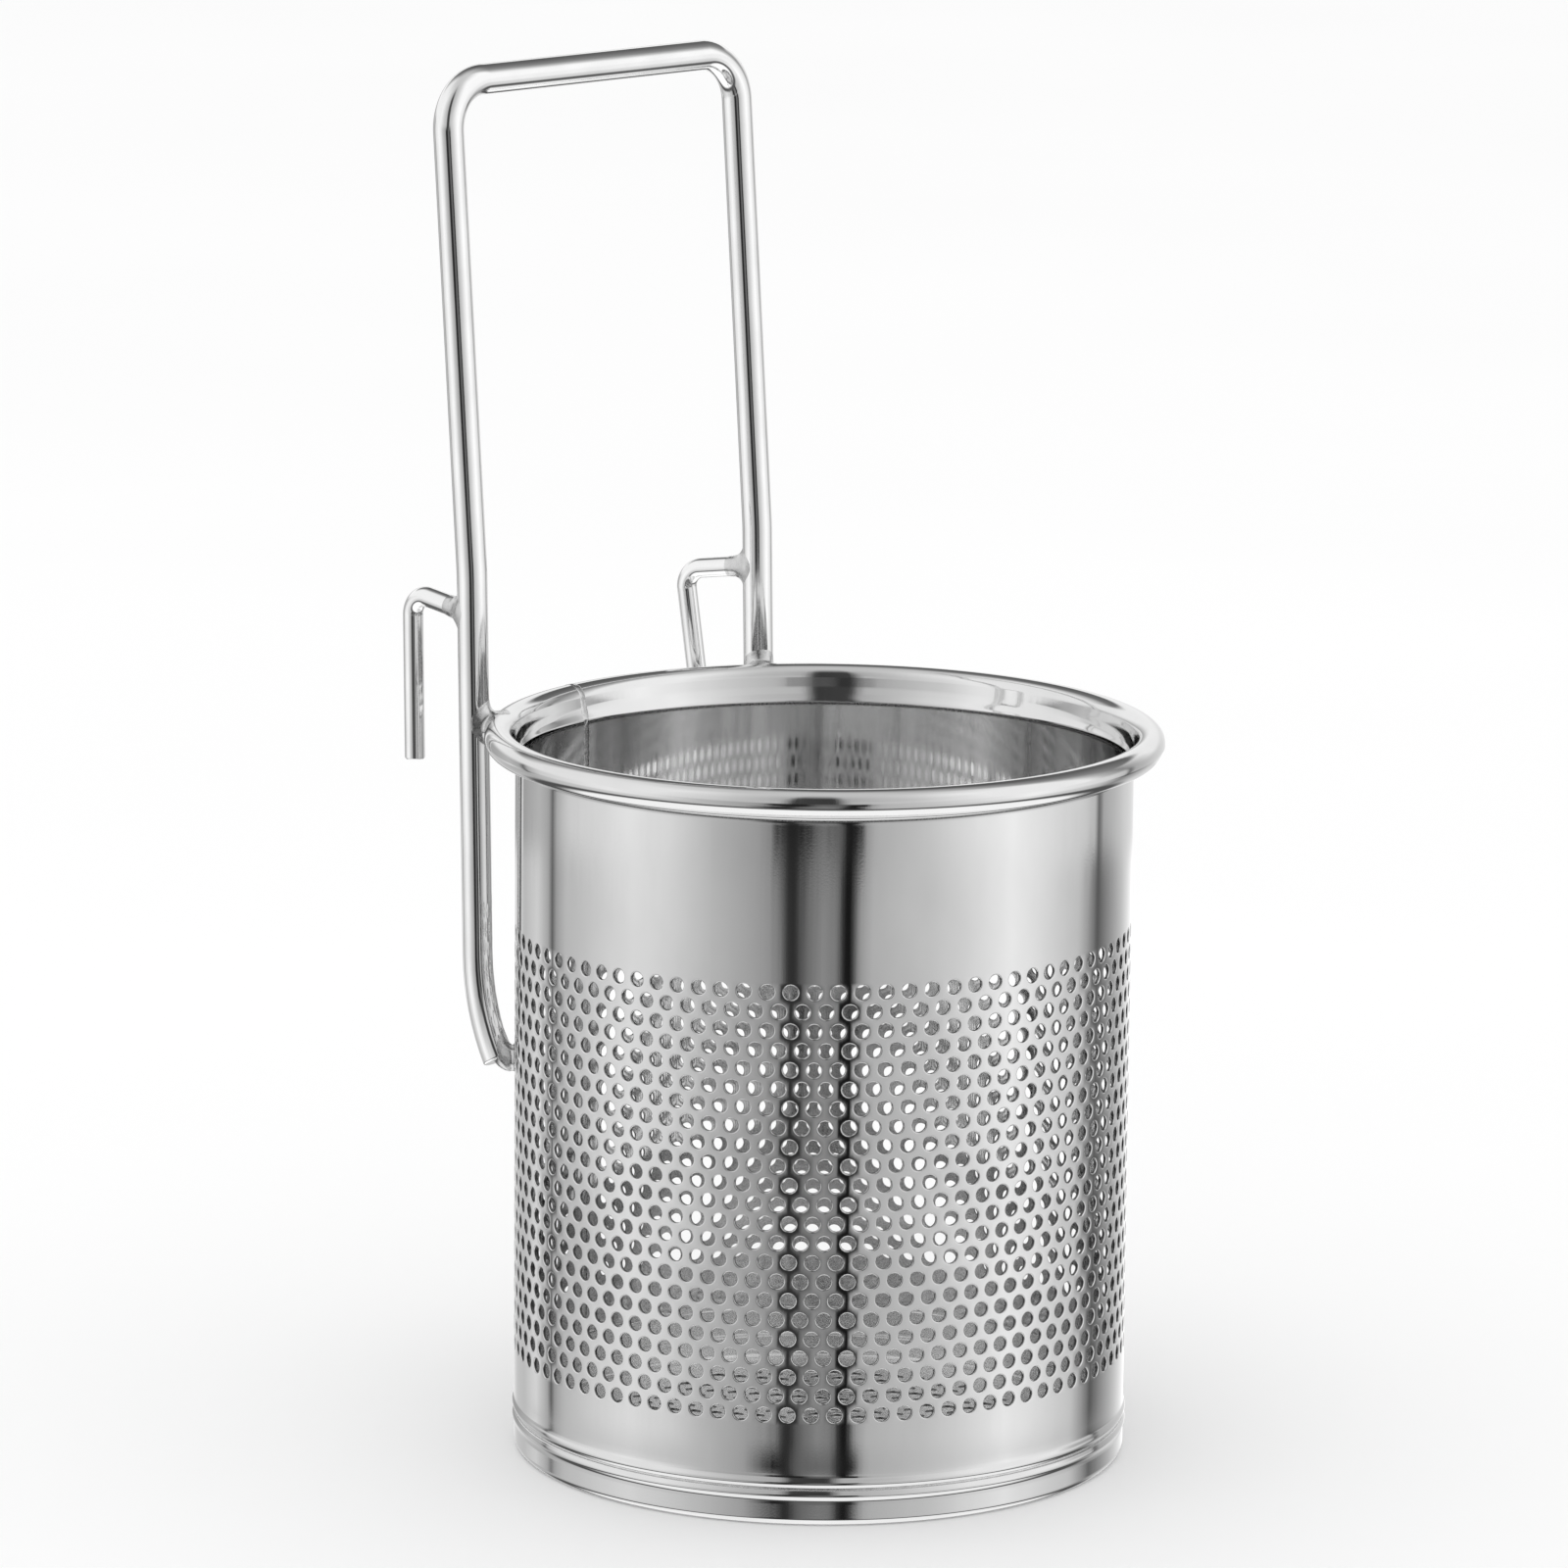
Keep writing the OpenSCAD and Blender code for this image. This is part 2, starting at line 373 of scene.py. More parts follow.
def strip(surface, line, normals, angles, lift=0.0):
    """Both faces of a stretch of sheet, given its centre line from below upwards."""
    for sign, plain, shade_line_z in ((1, OUTSIDE, OUTER_SHADE_LINE_Z), (-1, INSIDE, INNER_SHADE_LINE_Z)):
        # painted shade: near the line's height each face blends into the dark metal that stands in for the
        # shade under the roll
        share = bell((line[:, 1:] - shade_line_z) / SHADE_LINE_SPREAD)[:, None]
        face = share * np.array(PAINTED_SHADE) + (1 - share) * np.array(plain)
        lathe(surface, line + sign * SHEET / 2 * normals, sign * normals, angles, face, lift)


def cut_ring(surface, z, sign, angles, lift=0.0):
    """The ring that closes the sheet at height z, facing up or down."""
    line, normals = wall_line(np.array([z]))
    across = np.concatenate([line + SHEET / 2 * normals, line - SHEET / 2 * normals])
    lathe(surface, across, [(0, sign), (0, sign)], angles, lift=lift)


def rounded_end(surface, line, normals, way, angles, steps=6):
    """A half-round end of the sheet at the point line."""
    start = math.degrees(math.atan2(normals[1], normals[0]))
    points, outward = arc(line, SHEET / 2, start, start + way, steps)
    lathe(surface, points, outward, angles)


def basket_wall(material):
    angles = ring_angles()
    band_low = LOW_ROW_Z - ROW_PITCH / 2
    band_high = LOW_ROW_Z + (ROWS - 0.5) * ROW_PITCH
    split = LOW_ROW_Z + (SPLIT_ROW - 0.5) * ROW_PITCH
    climb = row_climb(np.arange(CELL_STEPS * HOLES_ROUND + 1))

    lower = Surface()
    hem = np.linspace(WALL_Z + SHEET / 2, HEM_Z + HEM_REACH, 22)
    flare = np.linspace(HEM_Z + HEM_REACH, band_low, 8)[1:]
    line, normals = wall_line(np.concatenate([hem, flare]))
    at_holes = np.arange(len(line))[:, None] == len(line) - 1
    strip(lower, line, normals, angles, at_holes * climb)
    rounded_end(lower, line[0], normals[0], -180, angles)
    perforated_rows(lower, np.arange(SPLIT_ROW))
    cut_ring(lower, split, 1, angles, climb)
    lower.make("basket_wall_lower", material, "polished_sheet", "basket_wall")

    upper = Surface()
    perforated_rows(upper, np.arange(SPLIT_ROW, ROWS))
    cut_ring(upper, split, -1, angles, climb)
    heights = np.concatenate([[band_high], np.linspace(HIGH_FLARE_LOW, COLLAR_FOOT, 9)])
    at_holes = np.arange(len(heights))[:, None] == 0
    strip(upper, *wall_line(heights), angles, at_holes * climb)
    cut_ring(upper, COLLAR_FOOT, 1, angles)
    upper.make("basket_wall_upper", material, "polished_sheet", "basket_wall")

    collar = Surface()
    coarse = angles[::2]
    rise = np.linspace(COLLAR_FOOT, STEP_Z + 2.1 * STEP_HALF, 34)
    line, normals = collar_line(np.concatenate([rise, [COLLAR_TOP]]))
    strip(collar, line, normals, coarse)
    rounded_end(collar, line[-1], normals[-1], 180, coarse)
    cut_ring(collar, COLLAR_FOOT, -1, coarse)
    collar.make("collar_and_roll", material, "polished_sheet", "basket_wall")


COLLAR_TOP = RIM_Z - 1.2 * MM
ROLL_GAP_DEG = 44.0
ROLL_STEPS = 50


def collar_line(rise):
    """The centre line from the step up the collar and round the rim roll, and its normals."""
    line, normals = wall_line(rise)
    start = 180 - math.degrees(COLLAR_LEAN)
    roll, roll_n = arc((ROLL_X, RIM_Z), ROLL_R - SHEET / 2, start, ROLL_GAP_DEG - 180, ROLL_STEPS)
    return np.concatenate([line, roll]), np.concatenate([normals, -roll_n])


RIM_WIRE_R = ROLL_R - SHEET - 0.05 * MM


def rim_wire(material):
    """The stiffening wire inside the roll, which shows only through the gap under it."""
    ring = Surface()
    points, outward = arc((ROLL_X, RIM_Z), RIM_WIRE_R, 0, 360, 33)
    lathe(ring, points, outward, ring_angles()[::2])
    ring.make("rim_core_wire", material, "drawn_wire", "rim_wire")


# ---------------------------------------------------------------- base pan


PAN_HEM_Z = PAN_Z - HEM_DROP
SPIGOT_TOP = pan_high.z
BOTTOM_BAND = 50.5 * MM


def pan_profile():
    """The curved stretches of the pan's sheet in (radius, height), each followed by its normals."""
    corner = (WALL_R - BASE_CORNER, BASE_CORNER)
    outer, outer_n = arc(corner, BASE_CORNER, -90, 0, 12)
    inner, inner_n = arc(corner, BASE_CORNER - SHEET, 0, -90, 10)
    z = np.linspace(PAN_HEM_Z - HEM_REACH, PAN_Z - 0.2 * MM, 18)
    bulge = HEM_OUT * bell((z - PAN_HEM_Z) / HEM_SPREAD)
    slope = -2 * (z - PAN_HEM_Z) / HEM_SPREAD**2 * bulge
    hem = np.stack([WALL_R + bulge, z], -1)
    hem_n = unit(np.stack([np.ones_like(z), -slope], -1))
    return outer, outer_n, inner, inner_n, hem, hem_n


def base_pan(material):
    pan = Surface()
    angles = ring_angles()[::2]
    outer, outer_n, inner, inner_n, hem, hem_n = pan_profile()
    down, up, out, inward = (0, -1), (0, 1), (1, 0), (-1, 0)
    edge = np.array([BOTTOM_BAND, 0])
    lathe(pan, [edge, outer[0]], [down, down], angles)
    lathe(pan, outer, outer_n, angles)
    lathe(pan, [outer[-1], hem[0]], [out, out], angles)
    lathe(pan, hem, hem_n, angles)
    spigot_out, spigot_in = WALL_R - SHEET, WALL_R - 2 * SHEET
    shoulder = [hem[-1], (hem[-1][0] - 0.2 * MM, PAN_Z), (spigot_out, PAN_Z)]
    lathe(pan, shoulder[:2], [hem_n[-1], (0.5, 0.87)], angles)
    lathe(pan, shoulder[1:], [(0.5, 0.87), up], angles)
    top_z = SPIGOT_TOP - SHEET / 2
    lathe(pan, [(spigot_out, PAN_Z), (spigot_out, top_z)], [out, out], angles)
    lip, lip_n = arc(((spigot_out + spigot_in) / 2, top_z), SHEET / 2, 0, 180, 7)
    lathe(pan, lip, lip_n, angles)
    joggle_top, joggle_low = PAN_Z - 2 * SHEET, PAN_Z - 4 * SHEET
    lathe(pan, [(spigot_in, top_z), (spigot_in, joggle_top)], [inward, inward], angles, PAN_INSIDE)
    s = np.linspace(0, 1, 8)
    joggle = np.stack([spigot_in + SHEET * smooth(s), joggle_top + (joggle_low - joggle_top) * s], -1)
    joggle_n = unit(np.stack([-np.ones_like(s), -6 * s * (1 - s) * SHEET / (joggle_top - joggle_low)], -1))
    lathe(pan, joggle, joggle_n, angles, PAN_INSIDE)
    lathe(pan, [(WALL_R - SHEET, joggle_low), inner[0]], [inward, inward], angles, PAN_INSIDE)
    lathe(pan, inner, -inner_n, angles, PAN_INSIDE)
    lathe(pan, [inner[-1], (BOTTOM_BAND, SHEET)], [up, up], angles, PAN_INSIDE)
    perforated_disc(pan, angles)
    pan.make("base_pan_sheet", material, "polished_sheet", "base_pan")


def perforated_disc(surface, angles):
    """Both faces of the flat bottom, with staggered holes out to the plain margin."""
    pitch = WALL_R * math.radians(HOLE_PITCH_DEG)
    reach = BOTTOM_BAND - LIP_R - 0.4 * MM
    count = int(reach / ROW_PITCH) + 1
    centres = []
    for row in range(-count, count + 1):
        for column in range(-count, count + 1):
            x, y = (column + 0.5 * (row % 2)) * pitch, row * ROW_PITCH
            if math.hypot(x, y) < reach:
                centres.append((x, y))
    turn = TURN * np.arange(HOLE_SIDES) / HOLE_SIDES
    spoke = np.stack([np.cos(turn), np.sin(turn)], -1)
    centres = np.array(centres)
    rims = (centres[:, None] + LIP_R * spoke).reshape(-1, 2)
    border = BOTTOM_BAND * np.stack([np.cos(angles[:-1]), np.sin(angles[:-1])], -1)
    points = [Vector(p) for p in np.concatenate([rims, border]) / MM]
    loops = [range(k, k + HOLE_SIDES) for k in range(0, len(rims), HOLE_SIDES)]
    loops.append(range(len(rims), len(points)))
    edges = [(loop[k - 1], loop[k]) for loop in loops for k in range(len(loop))]
    faces = np.array(delaunay_2d_cdt(points, edges, [], 0, 1e-5)[2])
    flat = np.concatenate([rims, border])
    hole = faces // HOLE_SIDES
    own = (hole[:, 0] == hole[:, 1]) & (hole[:, 1] == hole[:, 2]) & (hole[:, 0] < len(centres))
    faces = faces[~own]
    for z, sign, face in ((0, -1, 0.0), (SHEET, 1, PAN_INSIDE)):
        corners = np.concatenate([flat, np.full((len(flat), 1), z)], 1)[faces]
        surface.add(corners, (0, 0, sign), face)

    turn = TURN * np.arange(HOLE_SIDES + 1) / HOLE_SIDES
    spoke = np.stack([np.cos(turn), np.sin(turn), np.zeros_like(turn)], -1)
    middle = np.concatenate([centres, np.zeros((len(centres), 1))], 1)[:, None]
    up = np.array([0, 0, 1.0])

    def ring(radius, z):
        return middle + radius * spoke + z * up

    steps = [
        (ring(LIP_R, SHEET), up),
        (ring(DISH_R, SHEET - DISH_DEPTH), unit(up - DISH_TILT * spoke)),
        (ring(HOLE_R, SHEET - EDGE_DEPTH), unit(-spoke + EDGE_TILT * up)),
    ]
    bore = [(steps[-1][0], -spoke), (ring(HOLE_R, 0), -spoke)]
    under = [(bore[-1][0], -up), (ring(LIP_R, 0), -up)]
    # the bores take painted shade: a dark colour for the shade inside each hole
    for stack, face in ((steps, PAN_INSIDE), (bore, PAINTED_SHADE), (under, 0.0)):
        shape = stack[0][0].shape
        normals = np.stack([np.broadcast_to(n, shape) for _, n in stack], 1)
        surface.grid(np.stack([p for p, _ in stack], 1), normals, face)


# ---------------------------------------------------------------- welds along the sheet


def ripple(a, b, seed):
    """A smooth uneven value between about -1 and 1, from two running coordinates."""
    rng = np.random.default_rng(seed)
    total = 0
    for _ in range(7):
        fa, fb, phase = rng.uniform(0.4, 2.6, 3)
        total = total + np.sin(fa * a + fb * b + TURN * phase)
    return total / 4


def base_joint_weld(material):
    weld = Surface()
    count = 720
    angles = TURN * np.arange(count + 1) / count
    wrap = np.arange(count + 1) % count
    rough = 0.05 * MM * ripple(wrap * 0.9, wrap * 0.23, 5)
    rough = rough * np.minimum(1, np.minimum(wrap, count - wrap) / 20)
    section = TURN * np.arange(13)[:, None] / 12
    across, up = np.cos(section), np.sin(section)
    half_w, half_h = 0.34 * MM, 0.30 * MM
    centre_r, centre_z = WALL_R - 0.30 * MM, (WALL_Z + PAN_Z) / 2
    r = centre_r + half_w * across + rough * (across > 0)
    z = centre_z + half_h * up + 0 * angles
    weld.grid(cylindrical(r, angles, z), cylindrical(across + 0 * angles, angles, up + 0 * angles))
    weld.make("joint_weld_bead", material, "weld_metal", "base_joint_weld")


SEAM_W = 2.1 * MM
SEAM_PROUD = 0.10 * MM
SEAM_SINK = 0.12 * MM


def side_seam_weld(material):
    """A low uneven bead along the seam, on both faces of the sheet, from the hem to the roll's edge."""
    seam = Surface()
    plain = np.linspace(WALL_Z + SHEET / 2, STEP_Z - STEP_HALF, 260)
    step = np.linspace(STEP_Z - STEP_HALF, STEP_Z + 1.3 * STEP_HALF, 24)[1:]
    line, normals = collar_line(np.concatenate([plain, step, [COLLAR_TOP]]))
    across = np.linspace(-1, 1, 11)
    run = np.cumsum(np.concatenate([[0], np.linalg.norm(np.diff(line, axis=0), axis=1)])) / MM
    sides = []
    for sign in (1, -1):
        lift = SEAM_PROUD * (1 + 0.5 * ripple(run[:, None] * 1.7, across * 2.2, 11 + sign))
        lift = lift * (1 - across**2) - SEAM_SINK * across**4
        half = SHEET / 2 + lift
        r = line[:, :1] + sign * half * normals[:, :1]
        z = line[:, 1:] + sign * half * normals[:, 1:]
        width = SEAM_W / 2 / WALL_R * (1 + 0.12 * ripple(run[:, None], across * 0, 3))
        sides.append(cylindrical(r, math.radians(SEAM_DEG) + across * width, z))
    outer, inner = sides
    for points, sign in ((outer, 1), (inner, -1)):
        nr, nz = sign * normals[:, :1] + 0 * across, sign * normals[:, 1:] + 0 * across
        guide = cylindrical(nr, math.radians(SEAM_DEG) + 0 * nr, nz)
        seam.grid(points, grid_normals(points, guide))
    tangent = cylindrical(np.ones((1, 1)), math.radians(SEAM_DEG) + math.pi / 2, 0.0)[0]
    for column, sign in ((0, -1), (-1, 1)):
        seam.grid(np.stack([outer[:, column], inner[:, column]]), sign * tangent)
    for row, way in ((0, np.array([0, 0, -1.0])), (-1, None)):
        end = np.stack([outer[row], inner[row]])
        if way is None:
            way = unit(outer[-1, 5] - outer[-2, 5])
        seam.grid(end, way)
    seam.make("seam_weld_bead", material, "weld_metal", "side_seam_weld")


def grid_normals(points, guide):
    """Normals of a grid of points by differences, on the guide's side."""
    normal = np.cross(np.gradient(points, axis=0), np.gradient(points, axis=1))
    normal = unit(normal)
    flip = np.sign(np.sum(normal * guide, -1, keepdims=True))
    return normal * flip


# ---------------------------------------------------------------- bent wires


def wire_frames(start, steps, bend_steps=20):
    """Frames along a bent wire, as 4 x 4 arrays.

    Each step is (straight run, bend radius, bend angle, direction of the bend).
    """
    place = start
    frames = [np.array(place)]
    for run, radius, angle, way in steps:
        if run > 0:
            place = place @ Matrix.Translation((0, 0, run))
            frames.append(np.array(place))
        turned = place @ Matrix.Rotation(way, 4, "Z")
        count = max(3, int(bend_steps * abs(angle) / (math.pi / 2)) + 2) if angle else 0
        for k in range(1, count + 1):
            a = angle * k / count
            move = Matrix.Translation((radius * (1 - math.cos(a)), 0, radius * math.sin(a)))
            place = turned @ move @ Matrix.Rotation(a, 4, "Y") @ Matrix.Rotation(-way, 4, "Z")
            frames.append(np.array(place))
    return np.array(frames)


def tube(surface, frames, radius, edges=(0.5 * MM, 0.5 * MM), sides=48):
    """A round wire along the frames, whose two cut ends have small round edges."""
    turn = TURN * np.arange(sides + 1) / sides
    spoke = np.stack([np.cos(turn), np.sin(turn), 0 * turn], -1)
    run = np.concatenate([[0], np.cumsum(np.linalg.norm(np.diff(frames[:, :3, 3], axis=0), axis=1))])
    rings, normals, places = [], [], []

    def ring(frame, r, shift, tilt, along):
        turned = spoke @ frame[:3, :3].T
        axis = frame[:3, 2]
        rings.append(frame[:3, 3] + r * turned + shift * axis)
        normals.append(math.cos(tilt) * turned + math.sin(tilt) * axis)
        places.append(np.concatenate([np.full((sides + 1, 1), along + shift), radius * spoke[:, :2]], 1))

    steps = [k * math.pi / 8 for k in range(4, -1, -1)]
    for a in steps:
        ring(frames[0], radius - edges[0] * (1 - math.cos(a)), edges[0] * (1 - math.sin(a)), -a, 0)
    for frame, along in zip(frames[1:-1], run[1:-1]):
        ring(frame, radius, 0, 0, along)
    for a in steps[::-1]:
        ring(frames[-1], radius - edges[1] * (1 - math.cos(a)), -edges[1] * (1 - math.sin(a)), a, run[-1])
    surface.grid(np.array(rings), np.array(normals), np.array(places))
    for k, sign in ((0, -1), (-1, 1)):
        surface.fan(rings[k], sign * frames[k][:3, 2], frames[k][:3, 3], places[k][:-1, None])


RIM_REACH = RIM_R + WIRE_R + 0.02 * MM
RIM_Y = math.sqrt(RIM_REACH**2 - UPRIGHT_X**2)
KINK = UPPER_LEAN - LOWER_LEAN
KINK_TANGENT = KINK_R * math.tan(KINK / 2)
FOOT_TOP_Z = FOOT_Z + FOOT_R * (math.sin(FOOT_LEAN) - math.sin(LOWER_LEAN))


def upright_y(z):
    """The uprights' centre line below the kink."""
    return RIM_Y + math.tan(LOWER_LEAN) * (z - RIM_Z)


FOOT_Y = upright_y(FOOT_TOP_Z) - FOOT_R * (math.cos(LOWER_LEAN) - math.cos(FOOT_LEAN))


def handle_frames():
    lower = (KINK_Z - FOOT_TOP_Z) / math.cos(LOWER_LEAN) - KINK_TANGENT
    upper = (BAR_Z - KINK_Z) / math.cos(UPPER_LEAN) - KINK_TANGENT - CORNER_R
    bar = 2 * (UPRIGHT_X - CORNER_R)
    right = math.pi / 2
    start = Matrix.Translation((-UPRIGHT_X, FOOT_Y, FOOT_Z)) @ Matrix.Rotation(-FOOT_LEAN, 4, "X")
    foot = (FOOT_R, FOOT_LEAN - LOWER_LEAN, -right)
    kink, corner = (KINK_R, KINK, right), (CORNER_R, right, 0.0)
    steps = [(0, *foot), (lower, *kink), (upper, *corner), (bar, *corner), (upper, *kink), (lower, *foot)]
    return wire_frames(start, steps)


# Each hook's own set: (side, turn towards the middle, rise of the arm, lean of the leg), as in the design
LEFT_SET = (-1, 0.0, math.radians(8), math.radians(1))
RIGHT_SET = (1, math.radians(15), math.radians(-8), math.radians(8))


def hook_frames(hook):
    side, turn, rise, lean = hook
    bend = math.pi / 2 + rise + lean
    tangent = HOOK_R * math.tan(bend / 2)
    arm = HOOK_REACH / math.cos(rise)
    leg = (HOOK_Z + arm * math.sin(rise) - HOOK_END_Z) / math.cos(lean)
    root = 2.1 * MM
    start = Matrix.Translation((side * UPRIGHT_X, upright_y(HOOK_Z), HOOK_Z))
    start = start @ Matrix.Rotation(side * turn, 4, "Z") @ Matrix.Rotation(rise - math.pi / 2, 4, "X")
    start = start @ Matrix.Translation((0, 0, root))
    return wire_frames(start, [(arm - tangent - root, HOOK_R, bend, math.pi / 2), (leg - tangent, 0, 0, 0)])


def wires(material):
    handle = Surface()
    frames = handle_frames()
    tube(handle, frames, WIRE_R)
    handle.make("handle_wire", material, "drawn_wire", "handle_frame")
    paths = {}
    for name, hook in (("left_hook", LEFT_SET), ("right_hook", RIGHT_SET)):
        surface = Surface()
        paths[name] = hook_frames(hook)
        tube(surface, paths[name], HOOK_WIRE_R, edges=(0.1 * MM, 0.35 * MM), sides=40)
        surface.make(name + "_wire", material, "drawn_wire", name)
    return frames, paths


# ---------------------------------------------------------------- weld beads, as the skin of a blended field


def to_wire(points, path, radius):
    """Distance from points to a round wire along a path."""
    best = np.full(points.shape[:-1], np.inf)
    for a, b in zip(path[:-1], path[1:]):
        ab = b - a
        t = np.clip(((points - a) @ ab) / (ab @ ab), 0, 1)
        best = np.minimum(best, np.linalg.norm(points - a - t[..., None] * ab, axis=-1))
    return best - radius


def to_roll(points):
    across = np.hypot(points[..., 0], points[..., 1]) - ROLL_X
    return np.hypot(across, points[..., 2] - RIM_Z) - ROLL_R


def to_wall(points):
    return np.hypot(points[..., 0], points[..., 1]) - WALL_R


def blended(a, b, reach):
    """The smaller of two distances, with a fillet of that reach where they meet."""
    near = np.maximum(reach - np.abs(a - b), 0) / reach
    return np.minimum(a, b) - near * near * reach / 4


def gradient(field, points):
    nudge = 0.01 * MM
    parts = []
    for axis in np.eye(3) * nudge:
        parts.append((field(points + axis) - field(points - axis)) / (2 * nudge))
    return np.stack(parts, -1)


def skin(surface, field, centre, half, step):
    """Adds the closed surface on which the field is zero, within a cube round the centre."""
    axis = np.arange(-half, half + step, step)
    grid = np.stack(np.meshgrid(axis, axis, axis, indexing="ij"), -1) + centre
    value = field(grid)
    n = len(axis) - 1
    total, count = np.zeros((n, n, n, 3)), np.zeros((n, n, n, 1))

    def corner(array, c):
        return array[c[0] : n + c[0], c[1] : n + c[1], c[2] : n + c[2]]

    for way in range(3):
        for c in np.ndindex(2, 2, 2):
            if c[way] == 0:
                d = list(c)
                d[way] = 1
                va, vb = corner(value, c), corner(value, d)
                crossed = (va < 0) != (vb < 0)
                t = np.where(crossed, va / np.where(va == vb, 1, va - vb), 0)[..., None]
                point = corner(grid, c) * (1 - t) + corner(grid, d) * t
                total += point * crossed[..., None]
                count += crossed[..., None]
    used = count[..., 0] > 0
    index = np.full(used.shape, -1)
    index[used] = np.arange(used.sum())
    points = total[used] / count[used]
    for _ in range(4):
        slope = gradient(field, points)
        points = points - field(points)[:, None] * slope / np.sum(slope * slope, -1, keepdims=True)
    normals = unit(gradient(field, points))
    sign = value < 0
    for way in range(3):
        changed = np.moveaxis(sign, way, 0)
        changed = changed[:-1] != changed[1:]
        cells = np.moveaxis(index, way, 0)
        at = np.argwhere(changed[:, 1:-1, 1:-1])
        i, j, k = at[:, 0], at[:, 1], at[:, 2]
        around = [cells[i, j, k], cells[i, j + 1, k], cells[i, j + 1, k + 1], cells[i, j, k + 1]]
        quads = np.stack(around, -1)
        surface.add(points[quads], normals[quads])


WELD_INNER_R = WALL_R - 0.55 * MM  # no weld reaches further in than this, so none comes through the sheet
SKIN_STEP = 0.26 * MM
# Each kind of weld bead: (how far it reaches, its fillet, how far it stands up)
RIM_BEAD = (4.4 * MM, 2.6 * MM, 0.30 * MM)
FOOT_BEAD = (4.2 * MM, 2.4 * MM, 0.20 * MM)
HOOK_BEAD = (3.9 * MM, 2.4 * MM, 0.28 * MM)
RIM_WELD_UP, FOOT_WELD_UP = 0.8 * MM, 2.4 * MM


def weld_blob(name, material, node, distances, centre, size, seed):
    """An uneven bead of weld between two bodies: their blended surface, lifted near the centre."""
    reach, fillet, lift = size

    def field(points):
        a, b = (d(points) for d in distances)
        away = np.linalg.norm(points - centre, axis=-1)
        x, y, z = np.moveaxis((points - centre) / MM, -1, 0)
        rough = 0.10 * MM * ripple(1.3 * x + 0.9 * z, 1.2 * y - 0.7 * z, seed)
        bead = (lift + rough) * (1 - (away / reach) ** 2)
        ball = np.maximum(blended(a, b, fillet) - bead, away - 1.12 * reach)
        return np.maximum(ball, WELD_INNER_R - np.hypot(points[..., 0], points[..., 1]))

    surface = Surface()
    skin(surface, field, centre, 1.2 * reach, SKIN_STEP)
    surface.make(name, material, "weld_metal", node)


def weld_blobs(material, frames, hooks):
    path = frames[:, :3, 3]
    halves = {-1: path[: len(path) // 2], 1: path[len(path) // 2 :]}
    for side, word in ((-1, "left"), (1, "right")):
        upright = halves[side]
        aim = unit(np.array([side * UPRIGHT_X, RIM_Y, 0]))
        rim_spot = aim * RIM_R + np.array([0, 0, RIM_Z + RIM_WELD_UP])
        weld_blob(
            word + "_rim_weld_bead", material, word + "_rim_weld",
            [to_roll, lambda p, w=upright: to_wire(p, w, WIRE_R)],
            rim_spot, RIM_BEAD, 21 + side,
        )
        foot_z = FOOT_Z + FOOT_WELD_UP
        foot_y = FOOT_Y + FOOT_WELD_UP * math.tan(FOOT_LEAN)
        aim = unit(np.array([side * UPRIGHT_X, foot_y, 0]))
        foot_spot = aim * (WALL_R + 0.6 * MM) + np.array([0, 0, foot_z])
        weld_blob(
            word + "_foot_weld_bead", material, word + "_foot_weld",
            [to_wall, lambda p, w=upright: to_wire(p, w, WIRE_R)],
            foot_spot, FOOT_BEAD, 36 + side,
        )
        arm = hooks[word + "_hook"][:, :3, 3]
        root = np.array([side * UPRIGHT_X, upright_y(HOOK_Z), HOOK_Z])
        spot = root + (WIRE_R + 0.3 * MM) * unit(arm[1] - arm[0])
        weld_blob(
            word + "_hook_weld_bead", material, word + "_hook_weld",
            [lambda p, w=arm: to_wire(p, w, HOOK_WIRE_R), lambda p, w=upright: to_wire(p, w, WIRE_R)],
            spot, HOOK_BEAD, 41 + side,
        )


# ---------------------------------------------------------------- materials


def node(tree, kind, inputs=None, **settings):
    """A shader node. inputs maps a socket's name or number to a value, or to another node's output."""
    made = tree.nodes.new(kind)
    for name, value in settings.items():
        setattr(made, name, value)
    for key, value in (inputs or {}).items():
        socket = made.inputs[key]
        if isinstance(value, bpy.types.NodeSocket):
            tree.links.new(value, socket)
        else:
            socket.default_value = value
    return made


def noise(tree, place, stretch, scale, detail=4.0):
    """Noise at a place, stretched by a factor along each axis."""
    mapped = node(tree, "ShaderNodeMapping", {"Vector": place, "Scale": stretch}).outputs[0]
    return node(tree, "ShaderNodeTexNoise", {"Vector": mapped, "Scale": scale, "Detail": detail}).outputs[0]


def between(tree, value, low, high, start=0.3, end=0.7):
    """Maps a noise value from start..end to low..high."""
    sockets = {"Value": value, "From Min": start, "From Max": end, "To Min": low, "To Max": high}
    return node(tree, "ShaderNodeMapRange", sockets).outputs[0]


def bump(tree, height, distance, strength=1.0, normal=None):
    sockets = {"Height": height, "Distance": distance, "Strength": strength}
    if normal is not None:
        sockets["Normal"] = normal
    return node(tree, "ShaderNodeBump", sockets).outputs[0]


def grey_between(tree, value, low, high):
    ramp = node(tree, "ShaderNodeValToRGB", {"Fac": value})
    for stop, grey in zip(ramp.color_ramp.elements, (low, high)):
        stop.color = (grey, grey, grey, 1)
    ramp.color_ramp.elements[0].position = 0.3
    ramp.color_ramp.elements[1].position = 0.7
    return ramp.outputs[0]


def colour_mix(tree, share, first, second):
    """The first colour where share is 0, the second where it is 1."""
    return node(tree, "ShaderNodeMix", {0: share, 6: first, 7: second}, data_type="RGBA").outputs[2]


def value_mix(tree, share, first, second):
    """The first value where share is 0, the second where it is 1."""
    return node(tree, "ShaderNodeMix", {0: share, 2: first, 3: second}).outputs[0]


